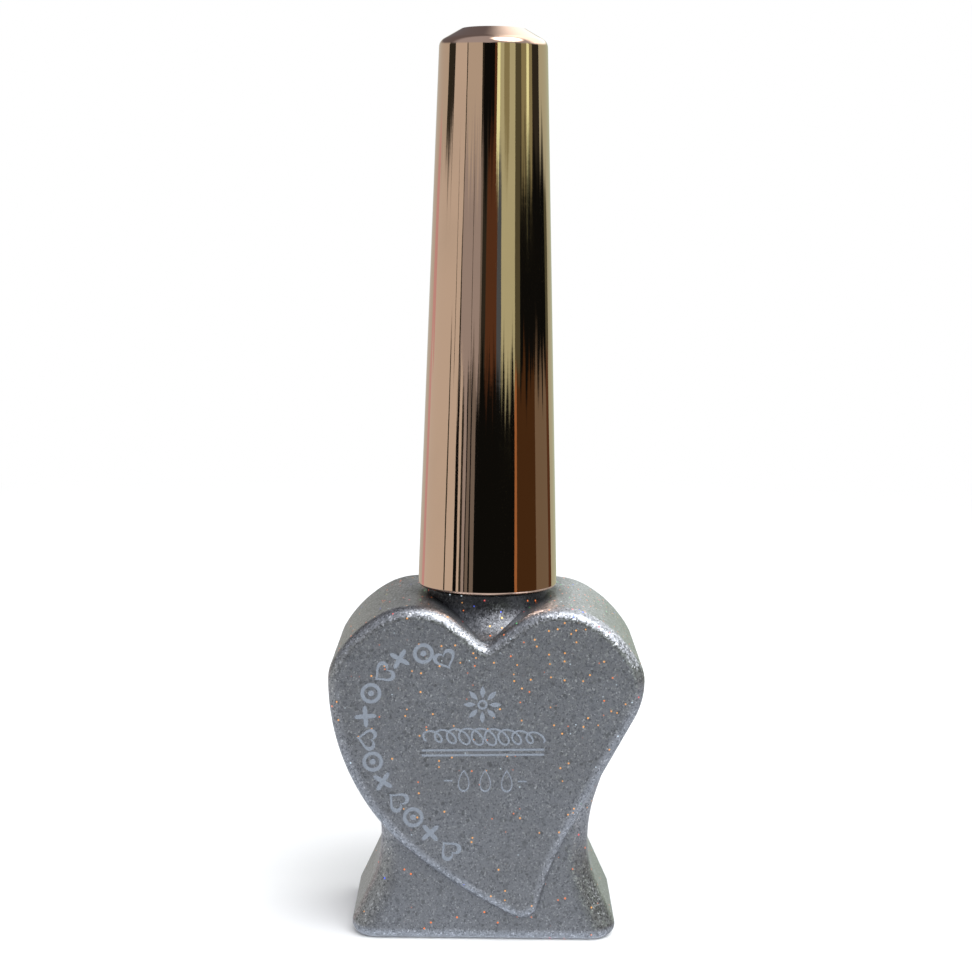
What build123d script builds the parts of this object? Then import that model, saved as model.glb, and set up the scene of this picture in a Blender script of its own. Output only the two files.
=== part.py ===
from build123d import *
import os
from math import asin, atan2, cos, hypot, radians, sin, tan

# Heart-shaped glass nail polish bottle with a tall tapered screw cap and a brush.
# Millimetres. +Z is up, +X is to the right and -Y is the front.
# The origin is the centre of the base, on the surface that the bottle stands on.

# Heart body, seen from the front
HEART_HALF_WIDTH = 19.85
HEART_DEPTH = 24.6
HEART_EDGE_RADIUS = 1.5
CROWN_HEIGHT = 43.4
CROWN_INNER_RADIUS = 8.25
CROWN_OUTER_RADIUS = 9.2
CROWN_OUTER_TURN = 31.0
SHOULDER_RADIUS = 15.5
SHOULDER_TURN = 29.0
SIDE_RADIUS = 5.0
NOTCH_SLOPE = 38.5
NOTCH_RADIUS = 0.8
LEFT_FLANK_TURN = 51.3
LEFT_FLANK_END_HEIGHT = 11.4
RIGHT_FLANK_RADIUS = 10.0
RIGHT_FLANK_FOOT = (10.9, 15.0)
TIP_CORNER = (6.55, 2.15)
TIP_RADIUS = 2.4

# Flared foot that the heart stands in
FOOT_DEPTH = 21.8
FOOT_CORNER_RADIUS = 3.2
FOOT_WAIST_HALF_WIDTH = 13.2
FOOT_WAIST_HEIGHT = 12.9
FOOT_UPPER_RADIUS = 20.0
FOOT_LOWER_RADIUS = 14.0
FOOT_BASE_HALF_WIDTH = 17.75
FOOT_BASE_RADIUS = 1.5
FOOT_TUCK = 1.1
BASE_RECESS = (21.0, 11.0)
BASE_RECESS_DEPTH = 0.6
BASE_RECESS_RADIUS = 4.0

# Glass walls and the lacquer on them
COAT = 0.12
WALL = 2.7
FLOOR_HEIGHT = 5.0
CAVITY_TIP_RADIUS = 1.0
CAVITY_EDGE_RADIUS = 2.5

# Neck, a 13 mm screw finish
ROOT_STEP = 2.05
ROOT_RISE = 0.6
ROOT_FLARE = 3.4
ROOT_FLARE_DROP = 4.5
ROOT_COLLAR = 0.5
NECK_RADIUS = 5.75
NECK_HEIGHT = 10.8
NECK_BORE_RADIUS = 3.7
NECK_SINK = 1.0
LIP_RADIUS = 0.6
THREAD_PITCH = 2.117
THREAD_DEPTH = 0.7
THREAD_BASE = 1.3
THREAD_CREST = 0.5
THREAD_ROOT_SINK = 0.2
THREAD_TURNS = 1.5
THREAD_START = 4.2
CAP_THREAD_TURNS = 1.25
THREAD_CLEARANCE = 0.2

# Contents
HEADSPACE = 6.4
GEL_GAP = 0.05
BALL_RADIUS = 2.2
BALL_PLACES = (-6.5, 6.5)
BALL_TRAVEL = 1.5
BALL_GAP = 0.15

# Washer, inner cap and shell
LINER_THICKNESS = 1.0
LINER_MARGIN = 0.25
INNER_WALL = 0.7
INNER_ROOF = 1.2
INNER_RIM_LIFT = 0.4
RIB_COUNT = 24
RIB_WIDTH = 0.8
RIB_HEIGHT = 0.65
RIB_CLEARANCE = 0.02
SHELL_RIM_LIFT = 0.3
SHELL_TAPER = 2.15
SHELL_HEIGHT = 68.3
SHELL_WALL = 1.0
SHELL_UPPER_WALL = 1.5
SHELL_RIM_ROUNDING = 0.4
CROWN_DISC_RADIUS = 4.1
CROWN_SLOPE = 30.0
CROWN_ROUNDING = 1.2
CROWN_WALL = 1.5
CROWN_HOLLOW_STEP = 1.0

# Brush
FLANGE_MARGIN = 0.35
FLANGE_THICKNESS = 1.5
STUB_RADIUS = 2.2
STUB_CLEARANCE = 0.05
STUB_RISE = 1.6
STEM_TOP_RADIUS = 1.9
STEM_END_RADIUS = 1.6
SOCKET_RADIUS = 1.15
SOCKET_DEPTH = 5.0
TUFT_LENGTH = 15.0
TUFT_RADIUS = 1.75
TUFT_TIP_RADIUS = 1.2
TUFT_TIP_ROUNDING = 1.0
TUFT_BELLY_SHARE = 0.6
TUFT_LIFT = 4.8
BRUSH_GAP = 0.35
STAPLE = (2.8, 0.3, 1.4)

# Sizes and heights that follow from the ones above
ROOT_RADIUS = NECK_RADIUS + ROOT_STEP
ROOT_HEIGHT = CROWN_HEIGHT + ROOT_RISE
LIP_HEIGHT = ROOT_HEIGHT + NECK_HEIGHT
FILL_HEIGHT = CROWN_HEIGHT - HEADSPACE
INNER_BORE_RADIUS = NECK_RADIUS + THREAD_DEPTH + THREAD_CLEARANCE
SHELL_RIM_RADIUS = INNER_BORE_RADIUS + INNER_WALL + RIB_HEIGHT + SHELL_WALL
SHELL_TOP_RADIUS = SHELL_RIM_RADIUS - SHELL_TAPER
FLANGE_BOTTOM = LIP_HEIGHT + LINER_THICKNESS
FLANGE_TOP = FLANGE_BOTTOM + FLANGE_THICKNESS
INNER_TOP = FLANGE_TOP + INNER_ROOF
SHELL_BOTTOM = ROOT_HEIGHT + SHELL_RIM_LIFT
SHELL_TOP = SHELL_BOTTOM + SHELL_HEIGHT
TUFT_END = FLOOR_HEIGHT + TUFT_LIFT
STEM_END = TUFT_END + TUFT_LENGTH
OUTLINE_SPARE = 6.0


def tangent_point(start, centre, radius, side):
    """Where a line from start touches a circle. side +1 takes the touch left of the centre."""
    dx = centre[0] - start[0]
    dy = centre[1] - start[1]
    distance = hypot(dx, dy)
    heading = atan2(dy, dx) + side * asin(radius / distance)
    reach = (distance**2 - radius**2) ** 0.5
    return (start[0] + reach * cos(heading), start[1] + reach * sin(heading))


def ring(outer, inner, height):
    """A flat ring standing on z = 0."""
    tall = Align.MIN
    middle = Align.CENTER
    disc = Cylinder(outer, height, align=(middle, middle, tall))
    return disc - Cylinder(inner, height, align=(middle, middle, tall))


def rod(radius, low, high):
    """A round rod on the Z axis between two heights."""
    return Pos(0, 0, low) * Cylinder(radius, high - low, align=(Align.CENTER, Align.CENTER, Align.MIN))


# ---------------------------------------------------------------- heart outline
def run_lobe(side):
    """Edge of one lobe, from the notch over the crown to the widest point."""
    crown_end = radians(CROWN_OUTER_TURN)
    shoulder_end = radians(CROWN_OUTER_TURN + SHOULDER_TURN)
    slope = radians(NOTCH_SLOPE)
    arcs_width = CROWN_INNER_RADIUS * sin(slope) + CROWN_OUTER_RADIUS * sin(crown_end)
    arcs_width += SHOULDER_RADIUS * (sin(shoulder_end) - sin(crown_end))
    arcs_width += SIDE_RADIUS * (1 - sin(shoulder_end))
    run = HEART_HALF_WIDTH - arcs_width
    crown_start = CROWN_HEIGHT - CROWN_INNER_RADIUS * (1 - cos(slope))
    rise = Line((0, crown_start - run * tan(slope)), (side * run, crown_start))
    pieces = [rise]
    for radius, turn in (
        (CROWN_INNER_RADIUS, NOTCH_SLOPE),
        (CROWN_OUTER_RADIUS, CROWN_OUTER_TURN),
        (SHOULDER_RADIUS, SHOULDER_TURN),
        (SIDE_RADIUS, 90 - CROWN_OUTER_TURN - SHOULDER_TURN),
    ):
        last = pieces[-1]
        pieces.append(JernArc(start=last @ 1, tangent=last % 1, radius=radius, arc_size=-side * turn))
    return pieces


def run_left_flank(widest):
    """Long convex edge from the widest point on the left down to the tip."""
    turn = radians(LEFT_FLANK_TURN)
    radius = (widest.Y - LEFT_FLANK_END_HEIGHT) / sin(turn)
    bend_end = (widest.X + radius * (1 - cos(turn)), LEFT_FLANK_END_HEIGHT)
    bend = TangentArc(widest, bend_end, tangent=(0, -1))
    return [bend, TangentArc(bend @ 1, TIP_CORNER, tangent=bend % 1)]


def right_flank_touch(widest):
    """Where the round side of the heart turns into the straight right flank."""
    centre = (widest.X - RIGHT_FLANK_RADIUS, widest.Y)
    return tangent_point(RIGHT_FLANK_FOOT, centre, RIGHT_FLANK_RADIUS, -1)


def run_right_flank(widest):
    """Edge from the widest point on the right, in and down to the tip."""
    bend = TangentArc(widest, right_flank_touch(widest), tangent=(0, -1))
    straight = Line(bend @ 1, RIGHT_FLANK_FOOT)
    return [bend, straight, TangentArc(straight @ 1, TIP_CORNER, tangent=straight % 1)]


def heart_face(inset):
    """Heart outline drawn in by inset, with the notch and the tip rounded."""
    left = run_lobe(-1)
    right = run_lobe(1)
    edges = left + run_left_flank(left[-1] @ 1) + right + run_right_flank(right[-1] @ 1)
    face = make_face([edge for curve in edges for edge in curve.edges()])
    if inset > 0:
        face = offset(face, amount=-inset, kind=Kind.INTERSECTION)
    tip = face.vertices().sort_by(Axis.Y)[0]
    face = fillet(tip, max(TIP_RADIUS - inset, CAVITY_TIP_RADIUS))
    notch = face.vertices().sort_by_distance((0, CROWN_HEIGHT - CROWN_INNER_RADIUS))[0]
    return fillet(notch, NOTCH_RADIUS + inset)


def heart_slab(inset, edge_radius):
    """Heart outline through the full depth, with rounded front and back edges."""
    depth = HEART_DEPTH / 2 - inset
    slab = extrude(Plane.XZ * heart_face(inset), amount=depth, both=True)
    faces = slab.faces().sort_by(Axis.Y)
    return fillet(faces[0].edges() + faces[-1].edges(), edge_radius)


# ---------------------------------------------------------------- foot
def foot_face(inset):
    """Foot outline drawn in by inset. It runs on below z = 0 so that it can be cut level."""
    widest = run_lobe(1)[-1] @ 1
    touch = right_flank_touch(widest)
    shoulder = (touch[0] - FOOT_TUCK, touch[1])
    waist = (FOOT_WAIST_HALF_WIDTH, FOOT_WAIST_HEIGHT)
    upper_centre = (waist[0] + FOOT_UPPER_RADIUS, waist[1])
    lower_centre = (waist[0] + FOOT_LOWER_RADIUS, waist[1])
    corner = (FOOT_BASE_HALF_WIDTH, 0)
    upper_touch = tangent_point(shoulder, upper_centre, FOOT_UPPER_RADIUS, -1)
    lower_touch = tangent_point(corner, lower_centre, FOOT_LOWER_RADIUS, 1)
    flare = (corner[0] - lower_touch[0]) / lower_touch[1]
    low = (corner[0] + flare * OUTLINE_SPARE, -OUTLINE_SPARE)
    lower = TangentArc(waist, lower_touch, tangent=(0, -1))
    upper = TangentArc(waist, upper_touch, tangent=(0, 1))
    side = [
        Line((0, low[1]), low),
        Line(low, lower_touch),
        lower,
        upper,
        Line(upper_touch, shoulder),
        Line(shoulder, (0, shoulder[1])),
        Line((0, shoulder[1]), (0, low[1])),
    ]
    half = make_face([edge for curve in side for edge in curve.edges()])
    face = half + mirror(half, about=Plane.YZ)
    if inset > 0:
        face = offset(face, amount=-inset, kind=Kind.INTERSECTION)
    return face


def foot_block(inset, corner_radius, base_height, base_radius):
    """Foot through its depth, its upright corners rounded, cut level and rounded at the base."""
    depth = FOOT_DEPTH / 2 - inset
    block = extrude(Plane.XZ * foot_face(inset), amount=depth, both=True)
    upright = [
        edge
        for edge in block.edges()
        if abs(abs(edge.center().Y) - depth) < 0.01 and edge.bounding_box().size.Z > 0.01
    ]
    block = fillet(upright, corner_radius)
    span = 4 * FOOT_BASE_HALF_WIDTH
    block -= Pos(0, 0, base_height) * Box(span, span, span, align=(Align.CENTER, Align.CENTER, Align.MAX))
    return fillet(block.faces().sort_by(Axis.Z)[0].edges(), base_radius)


# ---------------------------------------------------------------- bottle
def neck_root(inset):
    """Round root of the neck, which flares out into the valley between the lobes."""
    radius = ROOT_RADIUS - inset
    flare_top = ROOT_HEIGHT - ROOT_COLLAR
    bend = (ROOT_FLARE**2 + ROOT_FLARE_DROP**2) / (2 * ROOT_FLARE)
    end = (radius + ROOT_FLARE, flare_top - ROOT_FLARE_DROP)
    middle_turn = asin(ROOT_FLARE_DROP / bend) / 2
    middle = (radius + bend * (1 - cos(middle_turn)), flare_top - bend * sin(middle_turn))
    bottom = end[1] - ROOT_FLARE_DROP
    corners = [
        end,
        (end[0], bottom),
        (0, bottom),
        (0, ROOT_HEIGHT),
        (radius, ROOT_HEIGHT),
        (radius, flare_top),
    ]
    flare = ThreePointArc((radius, flare_top), middle, end)
    return revolve(Plane.XZ * make_face(Polyline(*corners).edges() + flare.edges()), Axis.Z)


def bottle_block(inset):
    """Outside of the bottle below the neck, drawn in by inset. The base stays on z = 0."""
    heart = heart_slab(inset, HEART_EDGE_RADIUS - inset)
    foot = foot_block(inset, FOOT_CORNER_RADIUS - inset, 0, FOOT_BASE_RADIUS)
    return heart + foot + neck_root(inset)


def cavity_block(inset, floor_height):
    """Space inside the bottle, below the neck."""
    heart = heart_slab(inset, CAVITY_EDGE_RADIUS)
    foot = foot_block(inset, CAVITY_EDGE_RADIUS, floor_height, CAVITY_EDGE_RADIUS)
    return heart + foot


def thread_ridge(root_radius, inward, turns, start_height, start_angle):
    """Helical ridge of trapezoid section. inward is -1 for a ridge that points at the axis."""
    path = Helix(THREAD_PITCH, turns * THREAD_PITCH, root_radius)
    section_plane = Plane(origin=path @ 0, x_dir=(1, 0, 0), z_dir=path % 0)
    flank = (THREAD_BASE - THREAD_CREST) / 2 / THREAD_DEPTH
    sunk_half = THREAD_BASE / 2 + flank * THREAD_ROOT_SINK
    back = -inward * THREAD_ROOT_SINK
    crest = inward * THREAD_DEPTH
    corners = [
        (back, -sunk_half),
        (back, sunk_half),
        (crest, THREAD_CREST / 2),
        (crest, -THREAD_CREST / 2),
    ]
    section = section_plane * make_face(Polyline(*corners, close=True).edges())
    ridge = sweep(section, path=path, is_frenet=True)
    return Pos(0, 0, start_height) * Rot(0, 0, start_angle) * ridge


def make_glass():
    """Moulded glass: heart, foot and threaded neck around one hollow."""
    glass = bottle_block(COAT)
    neck = rod(NECK_RADIUS, ROOT_HEIGHT - NECK_SINK, LIP_HEIGHT)
    neck = fillet(neck.edges().sort_by(Axis.Z)[-1], LIP_RADIUS)
    neck += thread_ridge(NECK_RADIUS, 1, THREAD_TURNS, ROOT_HEIGHT + THREAD_START, 0)
    glass += neck
    glass -= cavity_block(COAT + WALL, FLOOR_HEIGHT)
    glass -= rod(NECK_BORE_RADIUS, FLOOR_HEIGHT + CROWN_HEIGHT / 2, LIP_HEIGHT)
    recess = RectangleRounded(*BASE_RECESS, BASE_RECESS_RADIUS)
    return glass - extrude(recess, BASE_RECESS_DEPTH)


def make_coat():
    """Thin lacquer over the glass, from the base up to the top of the neck's root."""
    return bottle_block(0) - bottle_block(COAT)


def ball_centre(place):
    return (place, 0, FLOOR_HEIGHT + BALL_RADIUS + BALL_GAP)


def make_gel():
    """Liquid up to its level, open along the brush's way out and along each ball's travel."""
    inset = COAT + WALL + GEL_GAP
    gel = cavity_block(inset, FLOOR_HEIGHT + GEL_GAP)
    span = 4 * HEART_HALF_WIDTH
    gel -= Pos(0, 0, FILL_HEIGHT) * Box(span, span, span, align=(Align.CENTER, Align.CENTER, Align.MIN))
    brush_way = max(TUFT_RADIUS, STEM_TOP_RADIUS) + BRUSH_GAP
    gel -= rod(brush_way, TUFT_END - BRUSH_GAP, FILL_HEIGHT)
    for place in BALL_PLACES:
        reach = BALL_RADIUS + BALL_GAP - GEL_GAP
        lane = Rot(0, 90, 0) * Cylinder(reach, 2 * BALL_TRAVEL)
        lane += Pos(-BALL_TRAVEL, 0, 0) * Sphere(reach)
        lane += Pos(BALL_TRAVEL, 0, 0) * Sphere(reach)
        gel -= Pos(*ball_centre(place)) * lane
    return gel


# ---------------------------------------------------------------- cap and brush
def shell_radius(height):
    """Outer radius of the tapered shell at a height."""
    share = (height - SHELL_BOTTOM) / SHELL_HEIGHT
    return SHELL_RIM_RADIUS + (SHELL_TOP_RADIUS - SHELL_RIM_RADIUS) * share


def make_liner():
    """Foam washer that seals on the lip, around the stem."""
    hole = STEM_TOP_RADIUS + BRUSH_GAP
    return Pos(0, 0, LIP_HEIGHT) * ring(NECK_RADIUS - LINER_MARGIN, hole, LINER_THICKNESS)


def make_inner_cap():
    """Threaded plain closure with ribs outside that grip the shell."""
    bore = INNER_BORE_RADIUS
    bottom = SHELL_BOTTOM + INNER_RIM_LIFT
    core = rod(bore + INNER_WALL, bottom, INNER_TOP)
    low = shell_radius(bottom) - SHELL_WALL - RIB_CLEARANCE
    high = shell_radius(INNER_TOP) - SHELL_WALL - RIB_CLEARANCE
    middle = (bottom + INNER_TOP) / 2
    cone = Pos(0, 0, middle) * Cone(low, high, INNER_TOP - bottom)
    rib_start = bore + INNER_WALL / 2
    rib_reach = SHELL_RIM_RADIUS - rib_start
    blade = Pos(rib_start + rib_reach / 2, 0, middle) * Box(rib_reach, RIB_WIDTH, INNER_TOP - bottom)
    ribs = [cone & Rot(0, 0, 360 * turn / RIB_COUNT) * blade for turn in range(RIB_COUNT)]
    cap = core + ribs
    cap -= rod(bore, bottom, FLANGE_TOP)
    cap -= rod(STUB_RADIUS + STUB_CLEARANCE, FLANGE_TOP, INNER_TOP)
    skipped = THREAD_TURNS - CAP_THREAD_TURNS
    start = ROOT_HEIGHT + THREAD_START + (skipped - 0.5) * THREAD_PITCH
    return cap + thread_ridge(bore, -1, CAP_THREAD_TURNS, start, 360 * skipped)


def make_shell():
    """Tall hollow shell with a sloping crown. A ledge inside sits on the inner cap."""
    slope = radians(CROWN_SLOPE)
    cone_end = (
        SHELL_TOP_RADIUS - CROWN_ROUNDING * (1 - sin(slope)),
        SHELL_TOP + CROWN_ROUNDING * cos(slope),
    )
    crown_top = cone_end[1] + (cone_end[0] - CROWN_DISC_RADIUS) * tan(slope)
    outline = [
        Line((0, crown_top), (CROWN_DISC_RADIUS, crown_top)),
        Line((CROWN_DISC_RADIUS, crown_top), cone_end),
        TangentArc(cone_end, (SHELL_TOP_RADIUS, SHELL_TOP), tangent=(cos(slope), -sin(slope))),
        Line((SHELL_TOP_RADIUS, SHELL_TOP), (SHELL_RIM_RADIUS, SHELL_BOTTOM)),
        Line((SHELL_RIM_RADIUS, SHELL_BOTTOM), (0, SHELL_BOTTOM)),
        Line((0, SHELL_BOTTOM), (0, crown_top)),
    ]
    solid = revolve(Plane.XZ * make_face([edge for curve in outline for edge in curve.edges()]), Axis.Z)
    rim = [edge for edge in solid.edges() if abs(edge.center().Z - SHELL_BOTTOM) < 0.01 and edge.length > 1]
    solid = fillet(rim, SHELL_RIM_ROUNDING)
    ceiling = crown_top - CROWN_WALL
    lower = Polyline(
        (0, SHELL_BOTTOM),
        (shell_radius(SHELL_BOTTOM) - SHELL_WALL, SHELL_BOTTOM),
        (shell_radius(INNER_TOP) - SHELL_WALL, INNER_TOP),
        (0, INNER_TOP),
        close=True,
    )
    narrow = shell_radius(SHELL_TOP) - SHELL_UPPER_WALL
    upper = Polyline(
        (0, INNER_TOP),
        (shell_radius(INNER_TOP) - SHELL_UPPER_WALL, INNER_TOP),
        (narrow, SHELL_TOP - CROWN_WALL),
        (CROWN_DISC_RADIUS - CROWN_HOLLOW_STEP, ceiling),
        (0, ceiling),
        close=True,
    )
    for hollow in (lower, upper):
        solid -= revolve(Plane.XZ * make_face(hollow.edges()), Axis.Z)
    return solid


def make_staple():
    """Flat wire anchor across the closed end of the socket."""
    height = STAPLE[2]
    return Pos(0, 0, STEM_END + SOCKET_DEPTH - height / 2) * Box(*STAPLE)


def make_stem():
    """Moulded rod with a flange on the washer and a stub that the inner cap holds."""
    flange_radius = NECK_RADIUS - FLANGE_MARGIN
    profile = Polyline(
        (0, STEM_END),
        (STEM_END_RADIUS, STEM_END),
        (STEM_TOP_RADIUS, FLANGE_BOTTOM),
        (flange_radius, FLANGE_BOTTOM),
        (flange_radius, FLANGE_TOP),
        (STUB_RADIUS, FLANGE_TOP),
        (STUB_RADIUS, INNER_TOP + STUB_RISE),
        (0, INNER_TOP + STUB_RISE),
        close=True,
    )
    stem = revolve(Plane.XZ * make_face(profile.edges()), Axis.Z)
    stem -= rod(SOCKET_RADIUS, STEM_END, STEM_END + SOCKET_DEPTH)
    return stem - make_staple()


def make_tuft():
    """Bundle of hairs as one solid: straight in the socket, fuller below it, round at the tip."""
    root = STEM_END + SOCKET_DEPTH
    belly = STEM_END - TUFT_BELLY_SHARE * TUFT_LENGTH
    rounding = TUFT_END + TUFT_TIP_ROUNDING
    outline = [
        Line((0, root), (SOCKET_RADIUS, root)),
        Line((SOCKET_RADIUS, root), (SOCKET_RADIUS, STEM_END)),
        Line((SOCKET_RADIUS, STEM_END), (TUFT_RADIUS, belly)),
        Line((TUFT_RADIUS, belly), (TUFT_TIP_RADIUS, rounding)),
        Line((TUFT_TIP_RADIUS, rounding), (TUFT_TIP_RADIUS / 2, TUFT_END)),
        Line((TUFT_TIP_RADIUS / 2, TUFT_END), (0, TUFT_END)),
        Line((0, TUFT_END), (0, root)),
    ]
    tuft = revolve(Plane.XZ * make_face([edge for curve in outline for edge in curve.edges()]), Axis.Z)
    return tuft - make_staple()


def write_part(name, shape):
    """Writes one node. A shape of one solid is written as that solid."""
    solids = shape.solids()
    export_step(solids[0] if len(solids) == 1 else Compound(children=solids), f"parts/{name}.step")


os.makedirs("parts", exist_ok=True)
write_part("glass_bottle", make_glass())
write_part("glitter_coat", make_coat())
write_part("gel_polish", make_gel())
for number, place in enumerate(BALL_PLACES, start=1):
    write_part(f"mixing_ball_{number}", Pos(*ball_centre(place)) * Sphere(BALL_RADIUS))
write_part("sealing_liner", make_liner())
write_part("inner_cap", make_inner_cap())
write_part("cap_shell", make_shell())
write_part("brush_stem", make_stem())
write_part("tuft_staple", make_staple())
write_part("bristle_tuft", make_tuft())
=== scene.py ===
import random
from math import cos, pi, radians, sin, sqrt, tau

import bmesh
import bpy
from mathutils import Matrix, Vector


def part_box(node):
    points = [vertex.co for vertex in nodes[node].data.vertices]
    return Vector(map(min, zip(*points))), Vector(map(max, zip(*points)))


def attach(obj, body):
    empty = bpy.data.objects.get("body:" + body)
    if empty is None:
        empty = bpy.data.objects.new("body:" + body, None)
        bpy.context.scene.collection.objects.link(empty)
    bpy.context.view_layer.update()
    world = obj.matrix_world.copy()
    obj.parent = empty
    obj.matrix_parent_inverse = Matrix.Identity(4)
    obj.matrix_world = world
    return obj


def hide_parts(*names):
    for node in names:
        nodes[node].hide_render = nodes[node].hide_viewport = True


# Heart-shaped nail polish bottle with a glitter lacquer and a mirror cap.
# Everything is in metres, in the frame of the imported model.
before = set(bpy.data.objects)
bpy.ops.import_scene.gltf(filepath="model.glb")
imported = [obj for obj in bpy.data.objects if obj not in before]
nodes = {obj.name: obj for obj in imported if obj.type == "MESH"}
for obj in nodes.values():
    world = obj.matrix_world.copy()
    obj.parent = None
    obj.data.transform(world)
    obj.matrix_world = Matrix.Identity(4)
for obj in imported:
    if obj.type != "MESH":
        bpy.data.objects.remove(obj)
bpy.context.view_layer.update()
MM = 0.001

# ------------------------------------------------------------------ heights and radii from the frame
shell_low, shell_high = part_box("cap_shell")
tuft_low, tuft_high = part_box("bristle_tuft")
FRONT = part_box("glitter_coat")[0].y
GEL_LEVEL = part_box("gel_polish")[1].z
SHELL_RIM = shell_high.x
SHELL_TAPER = 2.15 / 68.3


def linear(red, green, blue):
    """A colour given in 0 to 255 sRGB as a linear one."""
    values = []
    for part in (red, green, blue):
        share = part / 255
        values.append(share / 12.92 if share <= 0.04045 else ((share + 0.055) / 1.055) ** 2.4)
    return (*values, 1.0)


# ------------------------------------------------------------------ node graphs
class Graph:
    """Short calls for building one node tree."""

    def __init__(self, tree):
        self.tree = tree
        tree.nodes.clear()

    def put(self, socket, value):
        if isinstance(value, bpy.types.NodeSocket):
            self.tree.links.new(value, socket)
        elif value is not None:
            socket.default_value = value

    def node(self, kind, settings=None, **inputs):
        made = self.tree.nodes.new("ShaderNode" + kind)
        for name, value in (settings or {}).items():
            setattr(made, name, value)
        for name, value in inputs.items():
            self.put(made.inputs[name.replace("_", " ")], value)
        return made

    def math(self, operation, a, b=None, c=None, clamp=False):
        made = self.tree.nodes.new("ShaderNodeMath")
        made.operation = operation
        made.use_clamp = clamp
        for socket, value in zip(made.inputs, (a, b, c)):
            self.put(socket, value)
        return made.outputs[0]

    def vector(self, operation, a, b=None, scale=None):
        made = self.tree.nodes.new("ShaderNodeVectorMath")
        made.operation = operation
        self.put(made.inputs[0], a)
        self.put(made.inputs[1], b)
        if scale is not None:
            self.put(made.inputs["Scale"], scale)
        return made.outputs[1] if operation in ("LENGTH", "DISTANCE") else made.outputs[0]

    def mix(self, share, a, b):
        made = self.tree.nodes.new("ShaderNodeMix")
        made.data_type = "RGBA"
        made.clamp_factor = True
        self.put(made.inputs[0], share)
        self.put(made.inputs[6], a)
        self.put(made.inputs[7], b)
        return made.outputs[2]

    def spread(self, value, low, high, to_low=0.0, to_high=1.0, smooth=False):
        made = self.node("MapRange", {"interpolation_type": "SMOOTHSTEP" if smooth else "LINEAR"})
        for socket, number in zip(made.inputs, (value, low, high, to_low, to_high)):
            self.put(socket, number)
        return made.outputs[0]

    def ramp(self, value, stops, mode="LINEAR"):
        made = self.tree.nodes.new("ShaderNodeValToRGB")
        self.put(made.inputs[0], value)
        line = made.color_ramp
        line.interpolation = mode
        while len(line.elements) > 1:
            line.elements.remove(line.elements[0])
        for number, (place, colour) in enumerate(stops):
            stop = line.elements[0] if number == 0 else line.elements.new(place)
            stop.position = place
            stop.color = colour
        return made.outputs[0]

    def noise(self, coords, scale, detail=3.0, roughness=0.55):
        made = self.node("TexNoise", Vector=coords, Scale=scale, Detail=detail, Roughness=roughness)
        return made.outputs["Fac"]

    def cells(self, coords, scale):
        made = self.node("TexVoronoi", Vector=coords, Scale=scale)
        return made.outputs["Distance"], made.outputs["Color"]

    def radius(self, place):
        """Distance from the upright axis, from the parts of a position."""
        squares = [self.math("POWER", part, 2.0) for part in (place[0], place[1])]
        return self.math("SQRT", self.math("ADD", *squares))

    def split(self, value):
        return self.node("SeparateXYZ", Vector=value).outputs

    def bump(self, height, distance, strength=1.0, normal=None):
        made = self.node("Bump", Height=height, Distance=distance, Strength=strength, Normal=normal)
        return made.outputs["Normal"]


def material(name, build):
    """A new material whose graph build(graph, position) returns a dict for the Principled shader."""
    made = bpy.data.materials.new(name)
    made.use_nodes = True
    graph = Graph(made.node_tree)
    position = graph.node("TexCoord").outputs["Object"]
    shader = graph.node("BsdfPrincipled")
    for socket, value in build(graph, position).items():
        graph.put(shader.inputs[socket], value)
    out = graph.node("OutputMaterial")
    graph.tree.links.new(shader.outputs[0], out.inputs["Surface"])
    return made


def dress(node, made):
    """Gives a CAD node one material."""
    mesh = nodes[node].data
    mesh.materials.clear()
    mesh.materials.append(made)


# ------------------------------------------------------------------ materials
FLAKE_SIZE = 0.17 * MM
GRIT_SIZE = 0.34 * MM
GLINT_CELL = 0.85 * MM
GLINT_RADIUS = 0.14 * MM
# Painted glints are few below the first height and most common above the second one; the height climbs
# towards the right.
GLINT_HEIGHTS = (0.010, 0.042)
GLINT_SHARES = (0.20, 0.62)
# A painted dark zone around the neck's root stands in for the shadow under the cap's rim. The first two
# values are distances outside the rim, and the heights are where the zone fades in.
SHADE_FROM = -1.6 * MM
SHADE_TO = 2.4 * MM
SHADE_HEIGHTS = (0.036, 0.041)
SHADE_STRENGTH = 0.86


def flake_normal(g, position, size, strength):
    """The surface normal, tilted at random from one metal flake to the next."""
    tilt = g.vector("SUBTRACT", g.cells(position, 1 / size)[1], (0.5, 0.5, 0.5))
    tilt = g.vector("SCALE", tilt, scale=strength)
    normal = g.node("NewGeometry").outputs["Normal"]
    return g.vector("NORMALIZE", g.vector("ADD", normal, tilt))


def glint(g, position, share):
    """(mask, colour) of the few coloured flakes. The lacquer also makes them glow, as painted glints."""
    distance, chance = g.cells(position, 1 / GLINT_CELL)
    lots = g.split(chance)
    dot = g.spread(distance, 0.6 * GLINT_RADIUS / GLINT_CELL, GLINT_RADIUS / GLINT_CELL, 1, 0)
    mask = g.math("MULTIPLY", dot, g.math("LESS_THAN", lots[0], share))
    colour = g.ramp(
        lots[1],
        [
            (0.0, linear(232, 120, 56)),
            (0.46, linear(214, 150, 84)),
            (0.62, linear(170, 182, 190)),
            (0.74, linear(90, 196, 120)),
            (0.82, linear(74, 96, 226)),
            (0.90, linear(220, 88, 84)),
        ],
        "CONSTANT",
    )
    return mask, colour


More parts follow.
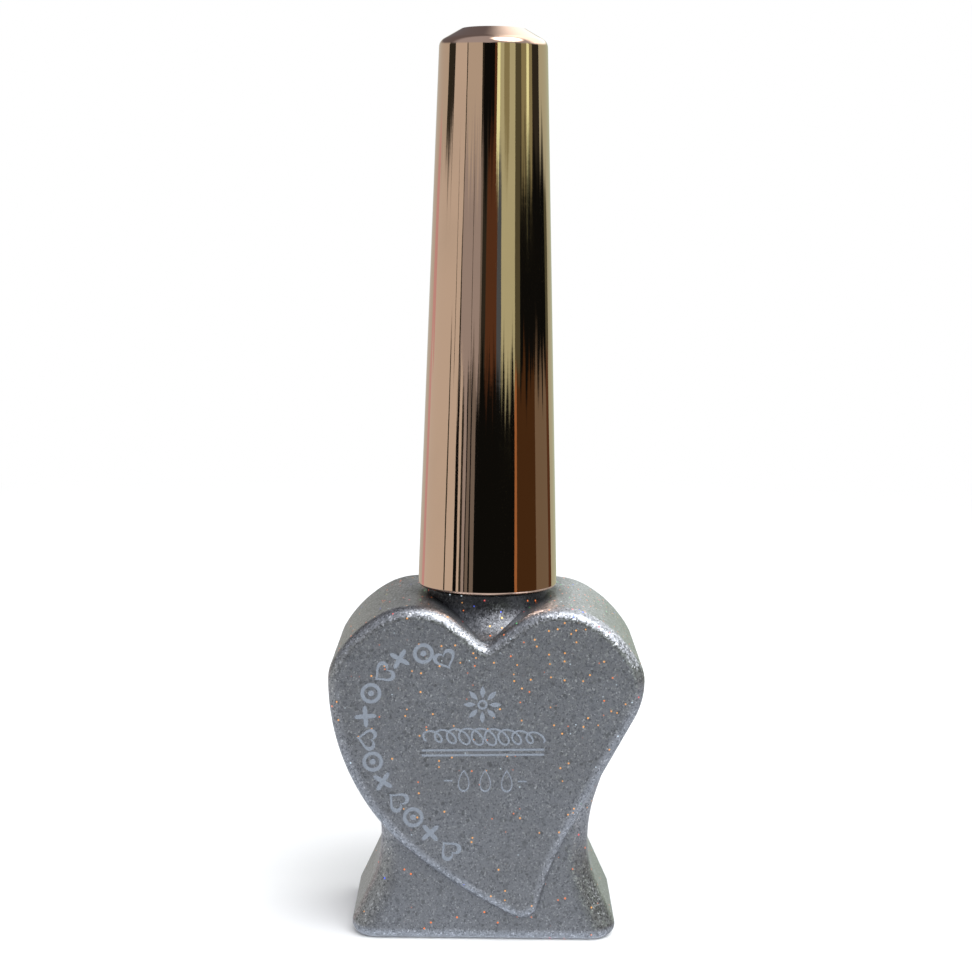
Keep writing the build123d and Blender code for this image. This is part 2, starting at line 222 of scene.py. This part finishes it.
def lacquer(g, position):
    """Silver-grey lacquer with fine flakes, dark grit and coloured glints that give off their own light."""
    place = g.split(position)
    fine = g.split(g.cells(position, 1 / FLAKE_SIZE)[1])[2]
    grit = g.split(g.cells(position, 1 / GRIT_SIZE)[1])[1]
    cloud = g.noise(position, 90.0)
    dust = g.noise(position, 1 / (0.55 * MM), 2.0)
    base = g.ramp(
        fine,
        [
            (0.0, linear(108, 110, 114)),
            (0.30, linear(150, 152, 156)),
            (0.85, linear(174, 176, 182)),
            (1.0, linear(220, 222, 227)),
        ],
    )
    base = g.mix(g.spread(grit, 0.90, 1.0, 0.0, 0.7), base, linear(104, 106, 108))
    base = g.mix(g.spread(cloud, 0.35, 0.7, 0.0, 0.16), base, linear(120, 116, 110))
    near = g.spread(g.radius(place), SHELL_RIM + SHADE_FROM, SHELL_RIM + SHADE_TO, 1, 0, smooth=True)
    shade = g.math("MULTIPLY", near, g.spread(place[2], *SHADE_HEIGHTS, smooth=True))
    base = g.mix(g.math("MULTIPLY", shade, SHADE_STRENGTH), base, linear(34, 33, 36))
    height = g.math("ADD", place[2], g.math("MULTIPLY", place[0], 0.5))
    share = g.spread(height, *GLINT_HEIGHTS, *GLINT_SHARES)
    mask, colour = glint(g, position, share)
    base = g.mix(mask, base, colour)
    normal = flake_normal(g, position, FLAKE_SIZE, 0.19)
    normal = g.bump(g.noise(position, 420.0, 2.0), 0.04 * MM, 0.3, normal)
    return {
        "Base Color": base,
        "Metallic": 0.92,
        "Roughness": g.spread(dust, 0.3, 0.7, 0.31, 0.41),
        "Normal": normal,
        # Painted glints: the coloured flakes glow by themselves, in place of the light they would catch.
        "Emission Color": g.mix(mask, (0, 0, 0, 1), colour),
        "Emission Strength": 1.25,
    }


MIRROR_TINT = linear(222, 188, 166)
# The metal stops this far inside the outer surface, and covers everything in the crown.
METAL_DEPTH = 0.45 * MM
CROWN_DEPTH = 3.2 * MM


def rose_gold(g, position):
    """Mirror metal on the outside and plain plastic inside."""
    place = g.split(position)
    height = g.math("SUBTRACT", place[2], shell_low.z)
    outside = g.math("SUBTRACT", SHELL_RIM - METAL_DEPTH, g.math("MULTIPLY", height, SHELL_TAPER))
    crown = g.math("GREATER_THAN", place[2], shell_high.z - CROWN_DEPTH)
    metal = g.math("MAXIMUM", g.math("GREATER_THAN", g.radius(place), outside), crown)
    smudge = g.noise(g.vector("MULTIPLY", position, (1.0, 1.0, 0.55)), 120.0, 4.0)
    prints = g.noise(position, 38.0, 2.0)
    haze = g.math("MULTIPLY", g.spread(smudge, 0.45, 0.75), g.spread(prints, 0.5, 0.7))
    shine = g.math("ADD", g.math("MULTIPLY", haze, 0.10), 0.035)
    draw = g.noise(g.vector("MULTIPLY", position, (1.0, 1.0, 0.05)), 260.0, 2.0)
    peel = g.noise(position, 700.0, 2.0)
    normal = g.bump(draw, 0.010 * MM, 0.8)
    normal = g.bump(peel, 0.0016 * MM, 1.0, normal)
    tint = g.mix(haze, MIRROR_TINT, linear(206, 176, 156))
    return {
        "Base Color": g.mix(metal, linear(206, 200, 190), tint),
        "Metallic": metal,
        "Roughness": g.mix(metal, (0.55, 0.55, 0.55, 1), shine),
        "Normal": normal,
    }


def bottle_glass(g, position):
    swirl = g.noise(g.vector("MULTIPLY", position, (1.0, 1.0, 0.4)), 160.0, 3.0)
    pores = g.noise(position, 1800.0, 2.0)
    return {
        "Base Color": g.mix(swirl, linear(232, 242, 240), linear(214, 232, 228)),
        "Roughness": g.spread(pores, 0.3, 0.7, 0.02, 0.09),
        "IOR": 1.52,
        "Transmission Weight": 0.92,
        "Normal": g.bump(swirl, 0.03 * MM, 0.5),
    }


def gel(g, position):
    fine = g.split(g.cells(position, 1 / (0.2 * MM))[1])[0]
    swirl = g.noise(position, 130.0, 4.0)
    base = g.mix(fine, linear(112, 116, 124), linear(176, 180, 188))
    mask, colour = glint(g, position, 0.5)
    base = g.mix(mask, g.mix(swirl, base, linear(132, 134, 140)), colour)
    return {
        "Base Color": base,
        "Metallic": 0.55,
        "Roughness": 0.22,
        "Coat Weight": 0.8,
        "Coat Roughness": 0.04,
        "Normal": flake_normal(g, position, 0.2 * MM, 0.25),
    }


def ball_steel(g, position):
    scratch = g.noise(g.vector("MULTIPLY", position, (1.0, 0.15, 1.0)), 3000.0, 2.0)
    film = g.noise(position, 400.0, 3.0)
    return {
        "Base Color": g.mix(film, linear(178, 180, 184), linear(206, 207, 209)),
        "Metallic": 1.0,
        "Roughness": g.spread(film, 0.3, 0.7, 0.10, 0.26),
        "Normal": g.bump(scratch, 0.004 * MM, 0.6),
    }


def liner_foam(g, position):
    distance, chance = g.cells(position, 1 / (0.22 * MM))
    return {
        "Base Color": g.mix(g.split(chance)[0], linear(236, 236, 232), linear(222, 222, 217)),
        "Roughness": 0.72,
        "Subsurface Weight": 0.15,
        "Subsurface Scale": 0.4 * MM,
        "Normal": g.bump(distance, 0.05 * MM, 0.6),
    }


def moulded_white(light, dark):
    """Moulded white plastic, a little uneven, with fine spark-eroded texture."""

    def build(g, position):
        cloud = g.noise(position, 240.0, 3.0)
        grain = g.noise(position, 5200.0, 2.0)
        return {
            "Base Color": g.mix(cloud, light, dark),
            "Roughness": g.spread(grain, 0.3, 0.7, 0.36, 0.52),
            "Subsurface Weight": 0.12,
            "Subsurface Scale": 0.8 * MM,
            "Normal": g.bump(grain, 0.012 * MM, 0.6),
        }

    return build


def stem_plastic(g, position):
    """White plastic, wet with the gel up to the liquid's level."""
    finish = moulded_white(linear(236, 236, 233), linear(226, 226, 221))(g, position)
    wave = g.math("MULTIPLY", g.noise(position, 700.0, 2.0), 3.0 * MM)
    level = g.math("ADD", g.split(position)[2], wave)
    wet = g.spread(level, GEL_LEVEL - 0.2 * MM, GEL_LEVEL + 1.4 * MM, 1, 0)
    flakes = g.split(g.cells(position, 1 / (0.2 * MM))[1])[0]
    polish = g.mix(flakes, linear(116, 120, 127), linear(184, 188, 195))
    finish["Base Color"] = g.mix(wet, finish["Base Color"], polish)
    finish["Metallic"] = g.math("MULTIPLY", wet, 0.55)
    finish["Roughness"] = g.mix(wet, finish["Roughness"], (0.18, 0.18, 0.18, 1))
    return finish


def staple_wire(g, position):
    drawn = g.noise(g.vector("MULTIPLY", position, (0.1, 1.0, 1.0)), 6000.0, 2.0)
    return {
        "Base Color": g.mix(drawn, linear(168, 168, 170), linear(198, 198, 200)),
        "Metallic": 1.0,
        "Roughness": g.spread(drawn, 0.3, 0.7, 0.22, 0.38),
        "Normal": g.bump(drawn, 0.004 * MM, 0.7),
    }


def nylon_hair(g, position):
    """Nylon filaments, coated with the gel, thicker towards the tip."""
    streak = g.noise(g.vector("MULTIPLY", position, (1.0, 1.0, 0.06)), 9000.0, 2.0)
    hair = g.mix(streak, linear(196, 178, 144), linear(226, 212, 184))
    flakes = g.split(g.cells(position, 1 / (0.16 * MM))[1])[0]
    polish = g.mix(flakes, linear(112, 116, 122), linear(190, 194, 200))
    height = g.math("ADD", g.split(position)[2], g.math("MULTIPLY", streak, 5.0 * MM))
    wet = g.spread(height, tuft_low.z + 6.0 * MM, tuft_low.z + 15.0 * MM, 0.92, 0.25)
    return {
        "Base Color": g.mix(wet, hair, polish),
        "Metallic": g.math("MULTIPLY", wet, 0.4),
        "Roughness": g.spread(wet, 0.25, 0.92, 0.42, 0.2),
        "Sheen Weight": 0.1,
        "Normal": g.bump(streak, 0.01 * MM, 0.5),
    }


def print_ink(g, position):
    grain = g.noise(position, 7000.0, 2.0)
    gaps = g.noise(position, 2600.0, 3.0)
    ink = g.mix(grain, linear(112, 119, 130), linear(126, 133, 143))
    return {
        "Base Color": g.mix(g.spread(gaps, 0.62, 0.76), ink, linear(104, 109, 118)),
        "Roughness": 0.5,
        "Normal": g.bump(grain, 0.006 * MM, 0.6),
    }


# ------------------------------------------------------------------ printed marks on the front
INK_LIFT = 0.02 * MM
LINE_CLIMB = 0.04 * MM
RIBBON_WIDTH = 0.46 * MM
FINE_WIDTH = 0.20 * MM
LOOP_WIDTH = 1.3 * FINE_WIDTH
RULE_WIDTH = 1.4 * FINE_WIDTH
ROW_PATH = [(-4.2, 36.4), (-7.4, 37.6), (-10.6, 37.0), (-13.2, 34.6), (-14.8, 31.2), (-15.0, 27.2),
            (-13.9, 23.2), (-11.9, 19.8), (-9.4, 17.0), (-6.4, 14.2), (-2.9, 11.2)]
ROW_SPACING = 2.95 * MM
ROW_START = 0.3
ROW_MARK = 1.42 * MM
EMBLEM_CENTRE = (-0.45 * MM, 31.2 * MM)
EMBLEM_RADIUS = 2.35 * MM
EMBLEM_PETALS = 8
PETAL_START = 0.36
PETAL_SIZE = 0.66
EMBLEM_EYE = 0.27
FLOURISH_SPAN = (-7.6 * MM, 7.0 * MM)
FLOURISH_HEIGHT = 27.1 * MM
LOOP_COUNT = 9
LOOP_STEPS = 300
LOOP_SIZE = 1.05 * MM
RULE_HEIGHTS = (25.25 * MM, 24.6 * MM)
RULE_SPAN = (-8.0 * MM, 7.35 * MM)
RULE_RISE = 0.3 * MM
DROPS_HEIGHT = 21.4 * MM
DROPS_SPACING = 2.7 * MM
DROP_SIZE = 1.45 * MM
DASH_SPAN = (4.1 * MM, 5.2 * MM)


class Marks:
    """Flat ink shapes on the front face, gathered into one piece."""

    def __init__(self, name):
        self.name = name
        self.mesh = bmesh.new()

    def point(self, x, z, lift=0.0):
        return self.mesh.verts.new((x, FRONT - INK_LIFT - lift, z))

    def ribbon(self, path, width):
        """A line of even width along (x, z) points, which climbs a little to clear its own crossings."""
        count = len(path)
        sides = []
        for number, (x, z) in enumerate(path):
            ahead = path[min(number + 1, count - 1)]
            behind = path[max(number - 1, 0)]
            along = Vector((ahead[0] - behind[0], ahead[1] - behind[1])).normalized()
            reach = Vector((-along.y, along.x)) * width / 2
            lift = LINE_CLIMB * number / count
            left = self.point(x + reach.x, z + reach.y, lift)
            right = self.point(x - reach.x, z - reach.y, lift)
            sides.append((left, right))
        for a, b in zip(sides, sides[1:]):
            self.mesh.faces.new((a[0], a[1], b[1], b[0]))

    def outline(self, shape, x, z, turn, size, width):
        """A closed line along a shape, as the ring between the shape and a smaller copy."""
        outer = [self.point(*spot) for spot in placed(shape, x, z, turn, size)]
        inner = [self.point(*spot) for spot in placed(shape, x, z, turn, size - width)]
        count = len(shape)
        for number in range(count):
            after = (number + 1) % count
            self.mesh.faces.new((outer[number], outer[after], inner[after], inner[number]))

    def filled(self, shape, x, z, turn=0.0, size=1.0):
        self.mesh.faces.new([self.point(*spot) for spot in placed(shape, x, z, turn, size)])

    def dot(self, x, z, radius):
        self.filled(circle(18), x, z, 0.0, radius)

    def finish(self, ink):
        bmesh.ops.recalc_face_normals(self.mesh, faces=self.mesh.faces[:])
        for face in self.mesh.faces:
            if face.normal.y > 0:
                face.normal_flip()
        data = bpy.data.meshes.new(self.name)
        self.mesh.to_mesh(data)
        self.mesh.free()
        piece = bpy.data.objects.new(self.name, data)
        bpy.context.scene.collection.objects.link(piece)
        data.materials.append(ink)
        solid = piece.modifiers.new("thickness", "SOLIDIFY")
        solid.thickness = INK_LIFT
        solid.offset = -1
        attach(piece, "bottle")


def smooth_path(points, steps=14):
    """Catmull-Rom curve through points."""
    ends = [points[0], *points, points[-1]]
    path = []
    for a, b, c, d in zip(ends, ends[1:], ends[2:], ends[3:]):
        for step in range(steps):
            t = step / steps
            path.append(tuple(curve_between(*along, t) for along in zip(a, b, c, d)))
    return [*path, points[-1]]


def curve_between(p, q, r, s, t):
    """One coordinate on the curve from q to r, at share t."""
    square = (2 * p - 5 * q + 4 * r - s) * t**2
    cube = (3 * q - p - 3 * r + s) * t**3
    return 0.5 * (2 * q + (r - p) * t + square + cube)


def placed(shape, x, z, turn=0.0, size=1.0):
    """Points of a shape, scaled, turned and moved."""
    return [
        (x + size * (px * cos(turn) - pz * sin(turn)), z + size * (px * sin(turn) + pz * cos(turn)))
        for px, pz in shape
    ]


def circle(corners=40):
    return [(cos(tau * n / corners), sin(tau * n / corners)) for n in range(corners)]


def small_heart(corners=44):
    """Outline of a plain heart, about one unit from its middle to its edge."""
    shape = []
    for n in range(corners):
        t = tau * n / corners
        x = sin(t) ** 3
        z = (13 * cos(t) - 5 * cos(2 * t) - 2 * cos(3 * t) - cos(4 * t)) / 16
        shape.append((x, z + 0.12))
    return shape


def four_point_star(corners=32):
    """Plain star with four soft points."""
    shape = []
    for n in range(corners):
        t = tau * n / corners
        reach = 0.30 + 0.70 * abs(cos(2 * t)) ** 3
        shape.append((reach * sin(t), reach * cos(t)))
    return shape


def petal(corners=20):
    """Pointed oval from the origin up to (0, 1)."""
    rise = [(0.20 * sin(pi * n / corners), n / corners) for n in range(corners + 1)]
    return rise + [(-x, z) for x, z in rise[-2:0:-1]]


def drop(corners=28):
    """Outline of a droplet."""
    shape = []
    for n in range(corners):
        t = tau * n / corners
        shape.append((0.62 * sin(t) * sin(t / 2) ** 0.8, cos(t)))
    return shape


def build_print():
    ink = material("print_ink", print_ink)
    row = Marks("print_row")
    path = smooth_path([(x * MM, z * MM) for x, z in ROW_PATH])
    travelled = 0.0
    number = 0
    for a, b in zip(path, path[1:]):
        step = sqrt((b[0] - a[0]) ** 2 + (b[1] - a[1]) ** 2)
        travelled += step
        if travelled >= ROW_SPACING * (number + ROW_START):
            outward = Vector((b[1] - a[1], -(b[0] - a[0]))).normalized()
            turn = pi / 2 - outward.angle_signed(Vector((1.0, 0.0)))
            if number % 3 == 0:
                row.outline(small_heart(), *b, turn, ROW_MARK, RIBBON_WIDTH)
            elif number % 3 == 1:
                row.outline(circle(), *b, 0.0, 0.92 * ROW_MARK, RIBBON_WIDTH)
                row.dot(*b, 0.26 * ROW_MARK)
            else:
                row.filled(four_point_star(), *b, turn, ROW_MARK)
            number += 1
    row.finish(ink)

    emblem = Marks("print_daisy")
    for number in range(EMBLEM_PETALS):
        turn = tau * number / EMBLEM_PETALS
        start = placed([(0, PETAL_START)], *EMBLEM_CENTRE, turn, EMBLEM_RADIUS)[0]
        emblem.filled(petal(), *start, turn, PETAL_SIZE * EMBLEM_RADIUS)
    emblem.outline(circle(), *EMBLEM_CENTRE, 0.0, EMBLEM_EYE * EMBLEM_RADIUS, RULE_WIDTH)
    emblem.finish(ink)

    flourish = Marks("print_flourish")
    low, high = FLOURISH_SPAN
    loops = []
    for n in range(LOOP_STEPS + 1):
        share = n / LOOP_STEPS
        swing = LOOP_COUNT * tau * share
        size = LOOP_SIZE * (0.55 + 0.45 * sin(pi * share))
        x = low + (high - low) * share - size * (sin(swing) - 0.35 * cos(swing))
        loops.append((x, FLOURISH_HEIGHT - size * cos(swing)))
    flourish.ribbon(loops, LOOP_WIDTH)
    for height in RULE_HEIGHTS:
        flourish.ribbon([(RULE_SPAN[0], height), (RULE_SPAN[1], height + RULE_RISE)], RULE_WIDTH)
    flourish.finish(ink)

    drops = Marks("print_drops")
    for n in range(-1, 2):
        drops.outline(drop(), n * DROPS_SPACING, DROPS_HEIGHT, 0.0, DROP_SIZE, LOOP_WIDTH)
    for side in (-1, 1):
        drops.ribbon([(side * reach, DROPS_HEIGHT) for reach in DASH_SPAN], FINE_WIDTH)
    drops.finish(ink)


# ------------------------------------------------------------------ brush hairs
HAIR_COUNT = 300
HAIR_RADIUS = 0.052 * MM
HAIR_SIDES = 6
HAIR_POINT = 0.45
HAIR_STEPS = 10
GOLDEN_TURN = pi * (3 - sqrt(5))
# The bundle is even up to ROOT_SHARE of its length, widest at BELLY_SHARE, and narrows to its tip.
ROOT_SHARE = 0.25
BELLY_SHARE = 0.70
ROOT_WIDTH = 0.62
TIP_NARROWING = 0.36


def bundle_radius(share):
    """Radius of the bundle from its root, share 0, to its tip, share 1."""
    full = tuft_high.x
    if share < ROOT_SHARE:
        return ROOT_WIDTH * full
    if share < BELLY_SHARE:
        swell = sin(pi / 2 * (share - ROOT_SHARE) / (BELLY_SHARE - ROOT_SHARE))
        return full * (ROOT_WIDTH + (1 - ROOT_WIDTH) * swell)
    return full * (1 - TIP_NARROWING * ((share - BELLY_SHARE) / (1 - BELLY_SHARE)) ** 1.6)


def build_hairs():
    """Separate filaments, packed evenly over the bundle, in place of its plain solid."""
    draw = random.Random(11)
    mesh = bmesh.new()
    for number in range(HAIR_COUNT):
        spot = sqrt((number + 0.5) / HAIR_COUNT)
        turn = GOLDEN_TURN * number
        end_share = 1.0 - 0.10 * spot**2 - draw.uniform(0.0, 0.05)
        lean = draw.uniform(-0.05, 0.05)
        loops = []
        for step in range(HAIR_STEPS + 1):
            share = end_share * step / HAIR_STEPS
            reach = spot * (bundle_radius(share) - 1.6 * HAIR_RADIUS) * (1 + lean * share * (1 - spot))
            angle = turn + lean * 2 * share
            height = tuft_high.z - share * (tuft_high.z - tuft_low.z)
            centre = Vector((reach * cos(angle), reach * sin(angle), height))
            width = HAIR_RADIUS * (1.0 if step < HAIR_STEPS else HAIR_POINT)
            rim = [Vector((width * x, width * y, 0)) for x, y in circle(HAIR_SIDES)]
            loops.append([mesh.verts.new(centre + spoke) for spoke in rim])
        for upper, lower in zip(loops, loops[1:]):
            for n in range(HAIR_SIDES):
                m = (n + 1) % HAIR_SIDES
                mesh.faces.new((upper[n], lower[n], lower[m], upper[m]))
        mesh.faces.new(loops[0])
        mesh.faces.new(loops[-1][::-1])
    for face in mesh.faces:
        face.smooth = len(face.verts) == 4
    bmesh.ops.recalc_face_normals(mesh, faces=mesh.faces[:])
    data = bpy.data.meshes.new("brush_hairs")
    mesh.to_mesh(data)
    mesh.free()
    piece = bpy.data.objects.new("brush_hairs", data)
    bpy.context.scene.collection.objects.link(piece)
    data.materials.append(material("nylon_hair", nylon_hair))
    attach(piece, "brush")
    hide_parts("bristle_tuft")


# ------------------------------------------------------------------ studio
WHITE = (1.0, 1.0, 1.0, 1.0)
# The band of stripes around the object, in degrees of elevation. The cap's taper tilts it by BAND_TILT.
BAND_TILT = 3.5
BAND_LOW = 10.7
BAND_SPAN = 15.7
BAND_SWAY = 0.05
BAND_DRIPS = 0.5
LOW_TO_MIDDLE = (0.38, 0.46)
MIDDLE_TO_HIGH = (0.76, 0.88)
BAND_TO_SKY = (10.0, 20.0)
BAND_TO_GROUND = (-10.5, -18.0)
GROUND_FALL = (-22.0, -60.0)
BEHIND_EDGES = (-0.10, 0.30)
FRONT_EDGES = (-0.15, 0.25)


def seen(red, green, blue):
    """The light that shows as this sRGB colour in the cap's mirror."""
    target = linear(red, green, blue)
    return tuple(part / tint for part, tint in zip(target[:3], MIRROR_TINT[:3])) + (1.0,)


BEIGE = seen(184, 155, 131)
SAND = seen(172, 145, 121)
PINK = seen(186, 128, 114)
ROSE = seen(147, 124, 110)
TAUPE = seen(108, 90, 76)
BLACK = seen(13, 11, 8)
SOOT = seen(44, 36, 26)
RUST = seen(80, 45, 25)
EMBER = seen(150, 88, 48)
BROWN = seen(66, 38, 17)
TAN = seen(109, 84, 61)
STRAW = seen(163, 146, 112)
KHAKI = seen(168, 153, 111)
OLIVE = seen(130, 113, 74)
MOSS = seen(76, 66, 43)
STEEL = seen(71, 70, 68)
HONEY = seen(226, 212, 150)

# What the cap mirrors, chosen to look like the photograph's cap from the front. Each stripe is
# (where it ends across the cap, its colour), from the left edge, -1, to the right, 1.
LOW_STRIPES = [
    (-0.95, SAND), (-0.92, PINK), (-0.63, BEIGE), (-0.61, SOOT), (-0.50, BEIGE), (-0.46, BLACK),
    (-0.42, BEIGE), (-0.39, SOOT), (-0.35, ROSE), (-0.33, BLACK), (-0.29, TAUPE), (-0.27, BLACK),
    (-0.21, TAUPE), (0.38, BLACK), (0.42, EMBER), (0.70, BROWN), (0.87, TAN), (0.91, RUST), (1.0, STRAW),
]
MIDDLE_STRIPES = [
    (-0.93, SAND), (-0.89, PINK), (-0.57, BEIGE), (-0.555, SOOT), (-0.49, BEIGE), (-0.47, SOOT),
    (-0.30, ROSE), (-0.29, SOOT), (-0.18, ROSE), (-0.15, TAUPE), (-0.08, SOOT), (0.10, RUST),
    (0.16, STEEL), (0.39, KHAKI), (0.47, MOSS), (0.88, BLACK), (0.92, MOSS), (1.0, STRAW),
]
HIGH_STRIPES = [
    (-0.81, SAND), (-0.69, SOOT), (-0.48, BEIGE), (-0.465, SOOT), (-0.20, SAND), (-0.17, SOOT),
    (0.03, BLACK), (0.07, RUST), (0.12, HONEY), (0.20, KHAKI), (0.29, OLIVE), (0.39, KHAKI),
    (0.50, MOSS), (0.59, OLIVE), (0.63, HONEY), (0.69, OLIVE), (0.82, SOOT), (1.0, STRAW),
]


def stripes(g, across, table):
    """Stripes over the place across the cap."""
    starts = [-1.0, *(end for end, _ in table[:-1])]
    stops = [((start + 1) / 2, colour) for start, (_, colour) in zip(starts, table)]
    return g.ramp(g.math("MULTIPLY_ADD", across, 0.5, 0.5), stops, "CONSTANT")


SKY_FRONT = (0.45, 0.47, 0.52, 1.0)
SKY_BEHIND_LEFT = (0.16, 0.155, 0.17, 1.0)
SKY_BEHIND_RIGHT = (2.0, 2.05, 2.05, 1.0)
KEY_DIRECTION = Vector((0.40, -0.50, 0.77)).normalized()
KEY_EDGE = 0.84
KEY_CORE = 0.97
KEY_COLOUR = (5.0, 5.1, 5.25, 1.0)
GROUND_NEAR = (0.68, 0.71, 0.77, 1.0)
GROUND_UNDER = (0.90, 0.98, 1.10, 1.0)


def build_world():
    """Soft light from above, with panels and dark flags around the object at its own height."""
    world = bpy.data.worlds.new("studio")
    bpy.context.scene.world = world
    world.use_nodes = True
    g = Graph(world.node_tree)
    direction = g.node("TexCoord").outputs["Generated"]
    x, y, z = g.split(direction)
    half = g.math("MULTIPLY", g.math("ARCTAN2", x, g.math("MULTIPLY", y, -1.0)), 0.5)
    across = g.math("SINE", half)
    rise = g.math("MULTIPLY", g.math("ARCSINE", z), 180 / pi)
    level = g.math("MULTIPLY_ADD", g.math("COSINE", half), -BAND_TILT, rise)
    level = g.math("MULTIPLY_ADD", level, 1 / BAND_SPAN, BAND_LOW / BAND_SPAN)
    place = g.node("CombineXYZ", X=g.math("MULTIPLY", across, 9.0), Y=level, Z=0.0).outputs[0]
    sway = g.math("SUBTRACT", g.noise(place, 1.3, 3.0), 0.5)
    warped = g.math("MULTIPLY_ADD", sway, BAND_SWAY, across)
    low, middle, high = (stripes(g, warped, table) for table in (LOW_STRIPES, MIDDLE_STRIPES, HIGH_STRIPES))
    drips = g.math("SUBTRACT", g.noise(place, 2.4, 2.0), 0.5)
    edge = g.math("MULTIPLY_ADD", drips, BAND_DRIPS, level)
    band = g.mix(g.spread(edge, *LOW_TO_MIDDLE, smooth=True), low, middle)
    band = g.mix(g.spread(edge, *MIDDLE_TO_HIGH, smooth=True), band, high)
    behind = g.mix(g.spread(x, *BEHIND_EDGES, smooth=True), SKY_BEHIND_LEFT, SKY_BEHIND_RIGHT)
    sky = g.mix(g.spread(y, *FRONT_EDGES, smooth=True), SKY_FRONT, behind)
    toward = g.node("VectorMath", {"operation": "DOT_PRODUCT"})
    g.put(toward.inputs[0], direction)
    g.put(toward.inputs[1], KEY_DIRECTION)
    sky = g.mix(g.spread(toward.outputs["Value"], KEY_EDGE, KEY_CORE, smooth=True), sky, KEY_COLOUR)
    ground = g.mix(g.spread(rise, *GROUND_FALL, smooth=True), GROUND_NEAR, GROUND_UNDER)
    colour = g.mix(g.spread(rise, *BAND_TO_SKY, smooth=True), band, sky)
    colour = g.mix(g.spread(rise, *BAND_TO_GROUND, smooth=True), colour, ground)
    colour = g.mix(g.node("LightPath").outputs["Is Camera Ray"], colour, WHITE)
    back = g.node("Background", Color=colour, Strength=1.0)
    out = g.node("OutputWorld")
    g.tree.links.new(back.outputs[0], out.inputs["Surface"])


FLOOR_REACH = 3.0
FLOOR_FADE = (0.10, 0.45)


def build_floor():
    """A pale floor that fades into the white surroundings."""
    mesh = bmesh.new()
    bmesh.ops.create_grid(mesh, x_segments=4, y_segments=4, size=FLOOR_REACH)
    data = bpy.data.meshes.new("floor")
    mesh.to_mesh(data)
    mesh.free()
    floor = bpy.data.objects.new("floor", data)
    bpy.context.scene.collection.objects.link(floor)
    made = bpy.data.materials.new("floor")
    made.use_nodes = True
    g = Graph(made.node_tree)
    position = g.node("TexCoord").outputs["Object"]
    away = g.vector("LENGTH", position)
    grain = g.noise(position, 60.0, 3.0)
    pale = g.node("BsdfDiffuse", Color=g.mix(grain, (0.86, 0.86, 0.86, 1), (0.90, 0.90, 0.90, 1)))
    bright = g.node("Emission", Color=WHITE, Strength=1.0)
    blend = g.node("MixShader")
    g.put(blend.inputs[0], g.spread(away, *FLOOR_FADE, smooth=True))
    g.tree.links.new(pale.outputs[0], blend.inputs[1])
    g.tree.links.new(bright.outputs[0], blend.inputs[2])
    out = g.node("OutputMaterial")
    g.tree.links.new(blend.outputs[0], out.inputs["Surface"])
    data.materials.append(made)
    floor.visible_glossy = False


def soft_light(name, place, target, size, watts, colour):
    """A square lamp, unseen in reflections."""
    data = bpy.data.lights.new(name, "AREA")
    data.size = size
    data.energy = watts
    data.color = colour
    lamp = bpy.data.objects.new(name, data)
    bpy.context.scene.collection.objects.link(lamp)
    lamp.location = place
    lamp.rotation_mode = "QUATERNION"
    lamp.rotation_quaternion = (Vector(target) - Vector(place)).to_track_quat("-Z", "Y")
    lamp.visible_glossy = False


CAMERA_DISTANCE = 0.250
CAMERA_PITCH = radians(7.54)
CAMERA_ROLL = radians(0.65)
CAMERA_LENS = 71.6
CAMERA_TARGET = Vector((-0.32 * MM, 0.0, 57.1 * MM))


def build_camera():
    """The photograph's view: pitched down a little and rolled by less than a degree."""
    data = bpy.data.cameras.new("camera")
    data.sensor_width = 36.0
    data.lens = CAMERA_LENS
    data.clip_start = 0.01
    camera = bpy.data.objects.new("camera", data)
    bpy.context.scene.collection.objects.link(camera)
    back = Vector((0.0, -cos(CAMERA_PITCH), sin(CAMERA_PITCH)))
    turn = Matrix.Rotation(pi / 2 - CAMERA_PITCH, 4, "X") @ Matrix.Rotation(CAMERA_ROLL, 4, "Z")
    camera.matrix_world = Matrix.Translation(CAMERA_TARGET + back * CAMERA_DISTANCE) @ turn
    bpy.context.scene.camera = camera


# ------------------------------------------------------------------ build
dress("glitter_coat", material("glitter_lacquer", lacquer))
dress("cap_shell", material("rose_gold_metallised", rose_gold))
dress("glass_bottle", material("bottle_glass", bottle_glass))
dress("gel_polish", material("gel", gel))
steel = material("ball_steel", ball_steel)
dress("mixing_ball_1", steel)
dress("mixing_ball_2", steel)
dress("sealing_liner", material("liner_foam", liner_foam))
dress("inner_cap", material("inner_plastic", moulded_white(linear(232, 232, 229), linear(220, 220, 216))))
dress("brush_stem", material("stem_plastic", stem_plastic))
dress("tuft_staple", material("staple_wire", staple_wire))
build_hairs()
build_print()
build_world()
build_floor()
soft_light("key", (-0.15, -0.30, 0.55), (0, 0, 0.05), 0.30, 1.2, (1.0, 0.98, 0.95))
soft_light("fill", (0.10, -0.45, 0.05), (0, 0, 0.02), 0.25, 0.25, (0.86, 0.92, 1.0))
build_camera()

bpy.context.scene.view_settings.view_transform = "Standard"
